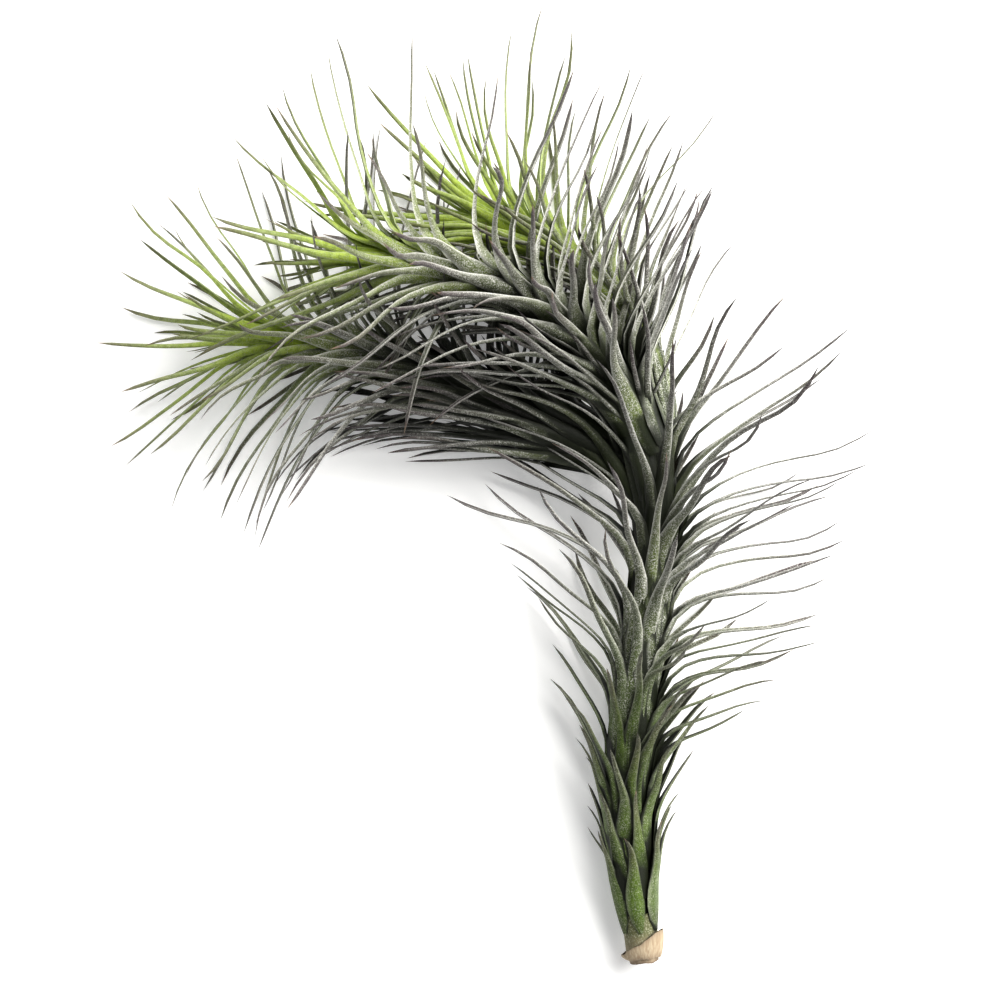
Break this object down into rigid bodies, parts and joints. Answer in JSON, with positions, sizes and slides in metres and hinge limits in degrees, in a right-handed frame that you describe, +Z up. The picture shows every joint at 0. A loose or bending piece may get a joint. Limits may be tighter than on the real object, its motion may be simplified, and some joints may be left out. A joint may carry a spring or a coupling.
{
  "type": "air plant",
  "caption": "Caulescent air plant lying on its side: a woody stem that forks into arching shoots, dressed with tapering silver-green leaves.",
  "frame": {"origin": "middle of the plant's footprint, on the surface that it rests on", "axes": "+Z up from the surface; +Y along the main stem, away from its cut end; +X to the right of the main stem, on the outer side of the arch"},
  "size_m": [0.159, 0.1926, 0.071],
  "materials": {
    "old_leaf": "matt deep green with a fine silver scurf",
    "silver_leaf": "matt silver grey-green, purple-grey towards the tips",
    "young_leaf": "satin yellow-green with a light silver scurf",
    "stem_wood": "dry brown bark and a fibrous cut end",
    "dry_sheath": "pale tan, papery, dried"
  },
  "bodies": {
    "root": {"stem": "stem_wood", "dry_collar": "dry_sheath", "front_bud": "young_leaf", "low_bud": "young_leaf", "back_bud": "young_leaf", "main_whorl_01": "old_leaf", "main_whorl_02": "old_leaf", "main_whorl_03": "old_leaf", "main_whorl_04": "old_leaf", "main_whorl_05": "old_leaf", "main_whorl_06": "old_leaf", "main_whorl_07": "old_leaf", "main_whorl_08": "old_leaf", "main_whorl_09": "silver_leaf", "main_whorl_10": "silver_leaf", "main_whorl_11": "silver_leaf", "main_whorl_12": "silver_leaf", "main_whorl_13": "silver_leaf", "main_whorl_14": "silver_leaf", "main_whorl_15": "silver_leaf", "front_whorl_01": "silver_leaf", "front_whorl_02": "silver_leaf", "front_whorl_03": "silver_leaf", "front_whorl_04": "silver_leaf", "front_whorl_05": "silver_leaf", "front_whorl_06": "silver_leaf", "front_whorl_07": "silver_leaf", "front_whorl_08": "silver_leaf", "front_whorl_09": "silver_leaf", "front_whorl_10": "silver_leaf", "front_whorl_11": "young_leaf", "front_whorl_12": "young_leaf", "front_whorl_13": "young_leaf", "low_whorl_01": "silver_leaf", "low_whorl_02": "silver_leaf", "low_whorl_03": "silver_leaf", "low_whorl_04": "silver_leaf", "low_whorl_05": "silver_leaf", "low_whorl_06": "silver_leaf", "low_whorl_07": "silver_leaf", "low_whorl_08": "silver_leaf", "low_whorl_09": "silver_leaf", "low_whorl_10": "silver_leaf", "low_whorl_11": "young_leaf", "low_whorl_12": "young_leaf", "low_whorl_13": "young_leaf", "back_whorl_01": "silver_leaf", "back_whorl_02": "silver_leaf", "back_whorl_03": "silver_leaf", "back_whorl_04": "silver_leaf", "back_whorl_05": "silver_leaf", "back_whorl_06": "silver_leaf", "back_whorl_07": "silver_leaf", "back_whorl_08": "silver_leaf", "back_whorl_09": "young_leaf", "back_whorl_10": "young_leaf", "back_whorl_11": "young_leaf"}
  },
  "joints": []
}
